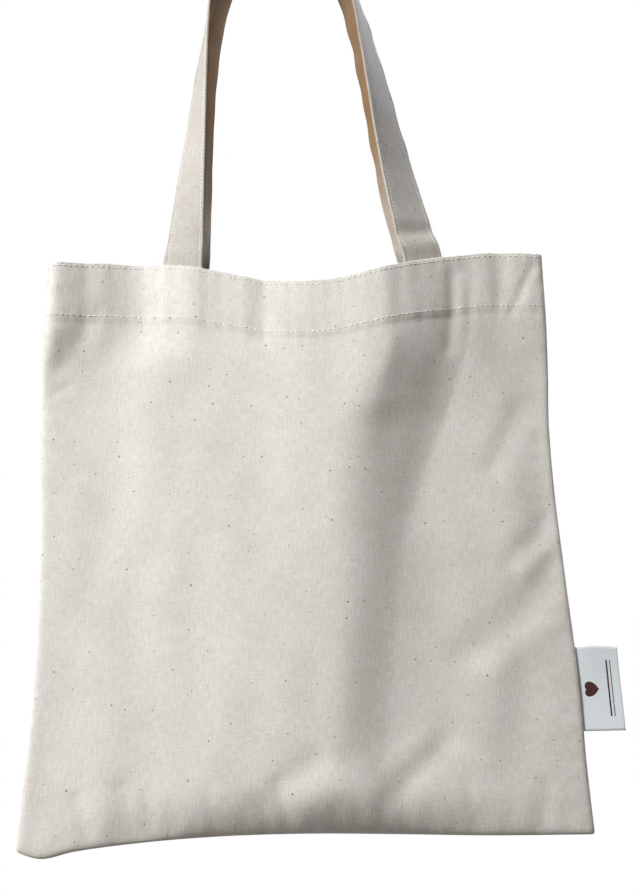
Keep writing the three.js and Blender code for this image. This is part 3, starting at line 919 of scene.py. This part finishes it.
def thread_material():
    """Spun cotton-wrapped thread: two plies with a slanting twist, and a soft sheen."""
    material, tree = new_material("cream_spun_thread")
    place = add_node(tree, "ShaderNodeTexCoord").outputs["Object"]
    grain = add_node(tree, "ShaderNodeTexNoise", {"Vector": place, "Scale": fibre_scale / MM, "Detail": 2.0})
    mix = {"Factor": grain.outputs["Fac"], "A": linear_colour("#efeadc"), "B": linear_colour("#fffdf7")}
    colour = add_node(tree, "ShaderNodeMix", mix, data_type="RGBA")
    bands = {"Vector": place, "Scale": twist_scale / MM, "Distortion": 2.0}
    twist = add_node(tree, "ShaderNodeTexWave", bands, bands_direction="DIAGONAL").outputs["Fac"]
    bump = add_node(tree, "ShaderNodeBump", {"Height": twist, "Strength": 0.5, "Distance": 0.1 * MM})
    surface = {"Base Color": colour, "Normal": bump, "Roughness": 0.75}
    surface.update({"Sheen Weight": 0.2, "Sheen Roughness": 0.5})
    shader = add_node(tree, "ShaderNodeBsdfPrincipled", surface)
    add_node(tree, "ShaderNodeOutputMaterial", {"Surface": shader})
    return material


cream_thread = thread_material()


def add_inputs(tree, sizes):
    """Named inputs of a node tree, after the geometry, and its output."""
    tree.interface.new_socket("Geometry", in_out="INPUT", socket_type="NodeSocketGeometry")
    for name, value in sizes.items():
        kind = "NodeSocketInt" if isinstance(value, int) else "NodeSocketFloat"
        socket = tree.interface.new_socket(name, in_out="INPUT", socket_type=kind)
        socket.default_value = value
    tree.interface.new_socket("Geometry", in_out="OUTPUT", socket_type="NodeSocketGeometry")
    return add_node(tree, "NodeGroupInput").outputs


def round_thread(tree, line, width, sides):
    """A round thread along a curve, closed at both ends."""
    radius = add_node(tree, "ShaderNodeMath", {0: width, 1: 0.5}, operation="MULTIPLY")
    outline = add_node(tree, "GeometryNodeCurvePrimitiveCircle", {"Resolution": sides, "Radius": radius})
    parts = {"Curve": line, "Profile Curve": outline, "Fill Caps": True}
    return add_node(tree, "GeometryNodeCurveToMesh", parts)


def finish_thread(tree, shape):
    """The end of each tree: real copies, shaded smooth, of cream thread."""
    whole = add_node(tree, "GeometryNodeRealizeInstances", {0: shape})
    soft = add_node(tree, "GeometryNodeSetShadeSmooth", {0: whole})
    painted = add_node(tree, "GeometryNodeSetMaterial", {0: soft, "Material": cream_thread})
    add_node(tree, "NodeGroupOutput", {0: painted})
    return tree


def stitches_tree():
    """One arch of thread at each step along a line, lying on the cloth that the line is on."""
    tree = bpy.data.node_groups.new("row_of_stitches", "GeometryNodeTree")
    sizes = add_inputs(tree, {**stitch_sizes, "Seed": 3})
    half = add_node(tree, "ShaderNodeMath", {0: sizes["Stitch Length"], 1: 0.5}, operation="MULTIPLY")
    back = add_node(tree, "ShaderNodeMath", {0: half, 1: -1.0}, operation="MULTIPLY")
    dip = add_node(tree, "ShaderNodeMath", {0: sizes["Rise"], 1: arch_dip}, operation="MULTIPLY")
    top = add_node(tree, "ShaderNodeMath", {0: sizes["Rise"], 1: arch_top}, operation="MULTIPLY")
    start = add_node(tree, "ShaderNodeCombineXYZ", {0: back, 2: dip})
    middle = add_node(tree, "ShaderNodeCombineXYZ", {2: top})
    end = add_node(tree, "ShaderNodeCombineXYZ", {0: half, 2: dip})
    arch = {"Resolution": 5, "Start": start, "Middle": middle, "End": end}
    arch = add_node(tree, "GeometryNodeCurveQuadraticBezier", arch)

    line = add_node(tree, "GeometryNodeMeshToCurve", {0: sizes["Geometry"]})
    points = {"Curve": line, "Length": sizes["Pitch"]}
    points = add_node(tree, "GeometryNodeResampleCurve", points, mode="LENGTH")
    tangent = add_node(tree, "GeometryNodeInputTangent")
    out = add_node(tree, "GeometryNodeInputNamedAttribute", {"Name": "out"}, data_type="FLOAT_VECTOR")
    turn = add_node(tree, "FunctionNodeAlignRotationToVector", {"Vector": tangent}, axis="X")
    turn = {"Rotation": turn, "Vector": out}
    turn = add_node(tree, "FunctionNodeAlignRotationToVector", turn, axis="Z", pivot_axis="X")
    slant = {"Min": -slant_limit, "Max": slant_limit, "Seed": sizes["Seed"]}
    slant = add_node(tree, "FunctionNodeRandomValue", slant)
    slant = add_node(tree, "ShaderNodeCombineXYZ", {2: slant})
    turn = {"Rotation": turn, "Rotate By": add_node(tree, "FunctionNodeEulerToRotation", {0: slant})}
    turn = add_node(tree, "FunctionNodeRotateRotation", turn, rotation_space="LOCAL")
    stitch = round_thread(tree, arch, sizes["Thread Width"], 6)
    copies = {"Points": points, "Instance": stitch, "Rotation": turn}
    return finish_thread(tree, add_node(tree, "GeometryNodeInstanceOnPoints", copies))


def baked(name, lines, tree, sizes):
    """What a node tree makes of lines, each one (points, out vectors), as a plain mesh."""
    points = np.concatenate([line for line, _ in lines])
    outs = np.concatenate([np.broadcast_to(out, line.shape) for line, out in lines])
    edges, first = [], 0
    for line, _ in lines:
        edges += [(first + k, first + k + 1) for k in range(len(line) - 1)]
        first += len(line)
    mesh = bpy.data.meshes.new(f"{name}_guide")
    mesh.from_pydata((points * MM).tolist(), edges, [])
    set_attribute(mesh, "out", "FLOAT_VECTOR", "vector", outs)
    guide = new_object(f"{name}_guide", mesh)
    modifier = guide.modifiers.new("thread", "NODES")
    modifier.node_group = tree
    for item in tree.interface.items_tree:
        if item.in_out == "INPUT" and item.name in sizes:
            modifier[item.identifier] = sizes[item.name]
    evaluated = guide.evaluated_get(bpy.context.evaluated_depsgraph_get())
    mesh = bpy.data.meshes.new_from_object(evaluated)
    mesh.name = name
    bpy.data.objects.remove(guide)
    piece = new_object(name, mesh)
    return piece


stitches = stitches_tree()
row_probe = 1.5


def cloth_row(face, x, height, inward):
    """A line on a panel and the direction out of it. A negative inward lies outside the panel."""
    u = x / half_width(height)
    line = cloth_point(face, u, height, inward)
    below, above = (cloth_point(face, u, height + way * row_probe, inward) for way in (-1, 1))
    out = unit(np.cross(np.gradient(line, axis=0), above - below))
    out = out * np.sign(out[:, 1:2]) * face
    return line, out if inward < 0 else -out


outside = -(cloth_thickness + row_lift)
turned_inside = cloth_thickness * 2 + layer_gap + row_lift
hem_end = half_width(float(bag_height)) - turned_end_inset - 1
hem_x = np.linspace(-hem_end, hem_end, 400)


def clear_of_straps(face, x):
    clear = np.ones(len(x), bool)
    for side in (LEFT, RIGHT):
        clear &= np.abs(x - strap_middle(face, side)) > strap_width / 2 + 1
    return clear


def stretches(x, keep):
    """The unbroken stretches of x where keep holds."""
    edges = np.flatnonzero(np.diff(np.concatenate([[0], keep.astype(int), [0]])))
    return [x[a:b] for a, b in zip(edges[::2], edges[1::2]) if b - a > 2]


strap_end_rows = (hem_stitch_height, hem_stitch_height + 6)
seam_stitch_inset = 6.5

# How many steps from a strap's ends its rows begin: above the hem outside, and near the end inside.
outer_row_start, inner_row_start = 30, 3
for face in (FRONT, BACK):
    name = FACE_NAMES[face]
    clear = clear_of_straps(face, hem_x)
    for row, height in (("hem", hem_stitch_height), ("edge", edge_stitch_height)):
        for part, way in PARTS.items():
            in_part = way * hem_x > part_join if way else np.abs(hem_x) <= part_join
            lines = [cloth_row(face, hem_x[in_part], height, outside)]
            for x in stretches(hem_x, clear & in_part):
                lines.append(cloth_row(face, x, height, turned_inside))
            sizes = {**stitch_sizes, "Seed": 11 + face}
            thread = baked(part_name(face, part, f"{row}_stitches"), lines, stitches, sizes)
            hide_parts(f"{name}_{row}_stitching")
            follow_mouth(thread, face, part)
    for side, side_name in ((LEFT, "left"), (RIGHT, "right")):
        middle = strap_middle(face, side)
        inner_x = np.linspace(middle - strap_row, middle + strap_row, 12)
        lines = []
        for height in strap_end_rows:
            line = plain_place_at(face, inner_x, height, strap_inward + strap_thickness / 2)
            lines.append((line, np.array([0, -face, 0])))
        thread = baked(f"{name}_{side_name}_strap_stitches", lines, stitches, stitch_sizes)
        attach(thread, name)
        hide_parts(f"{name}_{side_name}_strap_stitching")

    line, across, out, travel = strap_frames(face)
    level = strap_thickness / 2 - row_groove + row_lift
    strap_faces = ((1, level, outer_row_start), (-1, level - inner_row_sink, inner_row_start))
    for row, way in (("inner", 1), ("outer", -1)):
        path = line + across * (way * strap_row)
        lines = []
        for turned, depth, first in strap_faces:
            points = path + out * (turned * depth)
            lines.append((points[first:-first], turned * out[first:-first]))
        sizes = {**strap_stitch_sizes, "Seed": 5 + way}
        thread = baked(f"{name}_handle_{row}_stitches", lines, stitches, sizes)
        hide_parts(f"{name}_handle_{row}_stitching")
        follow_handle(thread)

for name, (middle_of, places) in seams.items():
    lines = []
    for way in (-1, 1):
        out = np.array([0, way, 0])
        lines.append((middle_of(places, seam_stitch_inset) + out * (allowance_thickness / 2 + row_lift), out))
    thread = baked(f"{name}_seam_stitches", lines, stitches, seam_stitch_sizes)
    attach(thread, "seams")
    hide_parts(f"{name}_seam_stitching")

# The raw edges are bound by overlock thread: it crosses from one face to the other over the edge,
# again and again, in slanting loops 2.4 mm apart.

overlock_pitch, overlock_steps = 2.4, 12
overlock_thread = 0.6
overlock_reach, overlock_overhang = 4.5, 0.35
overlock_flatness = 1.5


def tube_tree():
    """One thread along a line."""
    tree = bpy.data.node_groups.new("thread_along_a_line", "GeometryNodeTree")
    sizes = add_inputs(tree, {"Thread Width": overlock_thread * MM})
    line = add_node(tree, "GeometryNodeMeshToCurve", {0: sizes["Geometry"]})
    return finish_thread(tree, round_thread(tree, line, sizes["Thread Width"], 5))


overlock = tube_tree()
raw_edge = seam_inset + seam_allowance
for name, (middle_of, places) in seams.items():
    count = int((places[-1] - places[0]) / overlock_pitch) * overlock_steps
    turns = np.arange(count) / overlock_steps
    angle = turns * math.tau
    reach = raw_edge + overlock_overhang - overlock_reach * (0.5 - 0.5 * np.cos(angle))
    out = (allowance_thickness + overlock_thread) / 2 * np.clip(overlock_flatness * np.sin(angle), -1, 1)
    outward = np.array([0, 1, 0])
    loops = middle_of(places[0] + turns * overlock_pitch, reach) + out[:, None] * outward
    sizes = {"Thread Width": overlock_thread * MM}
    thread = baked(f"{name}_seam_overlock", [(loops, outward)], overlock, sizes)
    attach(thread, "seams")
    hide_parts(f"{name}_overlock_thread")

# The label is a smooth woven ribbon, folded in half, with both ends caught in the right side seam.
# Its print is brown: a small plain heart, and beside it a bold rule and a thin one.

label_width, label_height, label_centre = 22, 45, 80
ribbon_thickness = 0.4
label_root, label_gap, leaf_parting = 3.5, 0.35, 12
pinched_share = 0.35
label_curl, curl_turn, curl_start = 0.9, 3.6, 0.5
label_rise, label_rise_length, label_slope = 0.5, 5.2, 0.012
label_stand_out = 0.9
heart_out, heart_up, heart_size = 6.6, -0.6, 3.5
rules = ((15.4, 0.9), (17.3, 0.5))
rule_length = 30
rib_spacing, rib_height = 0.9, 0.08


def ribbon_material():
    """Satin-faced ribbon: fine ribs across it, a soft cool sheen, and brown ink on one leaf."""
    material, tree = new_material("woven_label_ribbon")
    cloth = add_node(tree, "ShaderNodeUVMap", uv_map="cloth")
    place = add_node(tree, "ShaderNodeVectorMath", {0: cloth, 1: (1 / MM, 1 / MM, 0)}, operation="MULTIPLY")
    split = add_node(tree, "ShaderNodeSeparateXYZ", {0: place})
    across, up = split.outputs[0], split.outputs[1]
    grain = add_node(tree, "ShaderNodeTexNoise", {"Vector": place, "Scale": 1.1, "Detail": 3.0})
    grain = grain.outputs["Fac"]
    mix = {"Factor": grain, "A": linear_colour("#dee8ef"), "B": linear_colour("#f5fbff")}
    colour = add_node(tree, "ShaderNodeMix", mix, data_type="RGBA")

    # A heart is where (x² + y² - 1)³ is less than x² y³, with y towards its lobes.
    x = {"Value": up, "From Min": heart_up, "From Max": heart_up + heart_size}
    y = {"Value": across, "From Min": heart_out, "From Max": heart_out - heart_size}
    x, y = (add_node(tree, "ShaderNodeMapRange", span, clamp=False) for span in (x, y))
    y_squared = add_node(tree, "ShaderNodeMath", {0: y, 1: y}, operation="MULTIPLY")
    y_cubed = add_node(tree, "ShaderNodeMath", {0: y_squared, 1: y}, operation="MULTIPLY")
    ball = add_node(tree, "ShaderNodeMath", {0: x, 1: x, 2: y_squared}, operation="MULTIPLY_ADD")
    ball = add_node(tree, "ShaderNodeMath", {0: ball, 1: 1.0}, operation="SUBTRACT")
    ball_squared = add_node(tree, "ShaderNodeMath", {0: ball, 1: ball}, operation="MULTIPLY")
    ball_cubed = add_node(tree, "ShaderNodeMath", {0: ball_squared, 1: ball}, operation="MULTIPLY")
    x_squared = add_node(tree, "ShaderNodeMath", {0: x, 1: x}, operation="MULTIPLY")
    lobes = add_node(tree, "ShaderNodeMath", {0: x_squared, 1: y_cubed}, operation="MULTIPLY")
    printed = add_node(tree, "ShaderNodeMath", {0: ball_cubed, 1: lobes}, operation="LESS_THAN")

    # Each rule is where the place is within half its width of its line.
    in_length = add_node(tree, "ShaderNodeMath", {0: up, 1: 0.0, 2: rule_length / 2}, operation="COMPARE")
    for middle, width in rules:
        rule = add_node(tree, "ShaderNodeMath", {0: across, 1: middle, 2: width / 2}, operation="COMPARE")
        rule = add_node(tree, "ShaderNodeMath", {0: rule, 1: in_length}, operation="MULTIPLY")
        printed = add_node(tree, "ShaderNodeMath", {0: printed, 1: rule}, operation="MAXIMUM")
    leaf = add_node(tree, "ShaderNodeAttribute", attribute_name="printed_leaf").outputs["Fac"]
    printed = add_node(tree, "ShaderNodeMath", {0: printed, 1: leaf}, operation="MULTIPLY")
    ink = add_node(tree, "ShaderNodeMath", {0: grain, 1: 0.08, 2: 0.93}, operation="MULTIPLY_ADD")
    ink = add_node(tree, "ShaderNodeMath", {0: printed, 1: ink}, operation="MULTIPLY")
    mix = {"Factor": ink, "A": colour, "B": linear_colour("#42190b")}
    colour = add_node(tree, "ShaderNodeMix", mix, data_type="RGBA")
    ribs = add_node(tree, "ShaderNodeMath", {0: up, 1: math.tau / rib_spacing}, operation="MULTIPLY")
    ribs = add_node(tree, "ShaderNodeMath", {0: ribs}, operation="SINE")
    bump = add_node(tree, "ShaderNodeBump", {"Height": ribs, "Strength": 0.35, "Distance": rib_height * MM})
    surface = {"Base Color": colour, "Normal": bump, "Roughness": 0.6, "Specular IOR Level": 0.1}
    surface.update({"Sheen Weight": 0.05, "Sheen Roughness": 0.4})
    shader = add_node(tree, "ShaderNodeBsdfPrincipled", surface)
    add_node(tree, "ShaderNodeOutputMaterial", {"Surface": shader})
    return material


label_hinge_x = float(half_width(np.array(label_centre - label_height / 2.0))) + label_stand_out
label_z = float(cloth_z(np.array(1.0), np.array(float(label_centre))))


def folded_ribbon():
    """The line of the ribbon seen from above: out along the front leaf, round, and back."""
    straight = np.linspace(-label_root, label_width - label_gap, 26)
    angles = np.linspace(0, math.pi, 9)[1:-1]
    gap = label_gap + ribbon_thickness
    spread = gap / 2 * blend_of(pinched_share, 1, smooth((straight + label_root) / leaf_parting))
    front = np.stack([straight, -spread], axis=-1)
    turn = np.stack([straight[-1] + gap / 2 * np.sin(angles), -gap / 2 * np.cos(angles)], axis=-1)
    back = np.stack([straight[::-1], spread[::-1]], axis=-1)
    is_front = np.concatenate([np.ones(len(front)), np.zeros(len(turn) + len(back))])
    return np.concatenate([front, turn, back]), is_front


def label_piece():
    line, is_front = folded_ribbon()
    x, y = line.T[:, None, :]
    up = np.linspace(-label_height / 2, label_height / 2, 34)[:, None]
    curl = label_curl * smooth(x / label_width) * np.sin(up / label_height * curl_turn + curl_start)
    rise = label_rise * np.sin(x / label_rise_length) * smooth((up + label_height / 2) / label_height)
    rise = rise + label_slope * x * up / label_height
    grid = np.stack(np.broadcast_arrays(label_hinge_x + x, y + curl, label_z + up + rise), axis=-1)
    shift = grid_normals(grid) * ribbon_thickness / 2
    cloth_map = np.stack(np.broadcast_arrays(x, up), axis=-1)
    piece = sheet_mesh("ribbon_label", [grid - shift, grid + shift], [cloth_map] * 2, ribbon_material())
    set_attribute(piece.data, "printed_leaf", "FLOAT", "value", np.tile(is_front, 2 * len(up)))
    return piece


label = label_piece()
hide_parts("side_label")
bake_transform(label)

# The room: a pale floor below the hanging bag, a backdrop that shows as white, a window's light from
# the upper left, a weaker lamp behind on the right, and a little warm light from all round.

floor_z = -0.95
backdrop_y = 1.6
room_side, room_top = 4, 3
ambient_light = 0.1


def plain_sheet(name, corners, material):
    mesh = bpy.data.meshes.new(name)
    mesh.from_pydata(corners, [], [(0, 1, 2, 3)])
    mesh.materials.append(material)
    new_object(name, mesh)


def shows_white(tree):
    """1 where a ray is seen by the camera, in a gloss or through something clear."""
    seen = 0.0
    path = add_node(tree, "ShaderNodeLightPath").outputs
    for ray in ("Is Camera Ray", "Is Glossy Ray", "Is Transmission Ray"):
        seen = add_node(tree, "ShaderNodeMath", {0: seen, 1: path[ray]}, operation="ADD", use_clamp=True)
    return seen


def room_material(name, colour, glow):
    """Matt paper, that shows as white to the camera by a share of glow."""
    material, tree = new_material(name)
    surface = add_node(tree, "ShaderNodeBsdfDiffuse", {"Color": linear_colour(colour)})
    white = add_node(tree, "ShaderNodeEmission", {"Color": (1, 1, 1, 1), "Strength": 1.0})
    share = add_node(tree, "ShaderNodeMath", {0: shows_white(tree), 1: glow}, operation="MULTIPLY")
    surface = add_node(tree, "ShaderNodeMixShader", {0: share, 1: surface, 2: white})
    add_node(tree, "ShaderNodeOutputMaterial", {"Surface": surface})
    return material


floor_corners = [(x * room_side, y * room_side, floor_z) for x, y in ((-1, -1), (1, -1), (1, 1), (-1, 1))]
plain_sheet("floor", floor_corners, room_material("pale_floor", "#85827e", glow=0.6))
wall_corners = [(-room_side, floor_z), (room_side, floor_z), (room_side, room_top), (-room_side, room_top)]
wall_corners = [(x, backdrop_y, z) for x, z in wall_corners]
plain_sheet("backdrop", wall_corners, room_material("white_backdrop", "#8f8c88", glow=1.0))

scene = bpy.context.scene
world = bpy.data.worlds.new("room_light")
scene.world = world
world.use_nodes = True
tree = world.node_tree
tree.nodes.clear()
ambient = {"Color": linear_colour("#eed9bb"), "Strength": ambient_light}
ambient = add_node(tree, "ShaderNodeBackground", ambient)
white = add_node(tree, "ShaderNodeBackground", {"Color": (1, 1, 1, 1), "Strength": 1.0})
sky = add_node(tree, "ShaderNodeMixShader", {0: shows_white(tree), 1: ambient, 2: white})
add_node(tree, "ShaderNodeOutputWorld", {"Surface": sky})


def soft_lamp(name, place, target, size, watts, colour):
    data = bpy.data.lights.new(name, "AREA")
    data.shape = "DISK"
    data.size = size
    data.energy = watts
    data.color = linear_colour(colour)[:3]
    lamp = new_object(name, data)
    lamp.location = place
    lamp.rotation_euler = (Vector(target) - Vector(place)).to_track_quat("-Z", "Y").to_euler()
    lamp.visible_camera = False


bag_middle = (0, 0, -0.4)
soft_lamp("window", (-1.7, -1.43, 0.92), bag_middle, 0.8, 81, "#ffffff")
soft_lamp("fill", (1.0, 0.32, 0.9), bag_middle, 1.0, 21, "#eef3ff")

scene.view_settings.view_transform = "Standard"

# The camera stands level with the lower part of the bag, looks up, and is tipped slightly.
image_height = 896
focal_pixels = 1206
camera_place = (0, -0.6624, -0.5611)
look_right, look_up, tip = math.radians(1.0), math.radians(17), math.radians(-1.57)
data = bpy.data.cameras.new("camera")
data.sensor_fit = "VERTICAL"
data.sensor_height = 24
data.lens = focal_pixels * data.sensor_height / image_height
data.clip_start = 0.02
camera = new_object("camera", data)
turned = Matrix.Rotation(-look_right, 4, "Z") @ Matrix.Rotation(math.pi / 2 + look_up, 4, "X")
camera.matrix_world = Matrix.Translation(camera_place) @ turned @ Matrix.Rotation(tip, 4, "Z")
scene.camera = camera
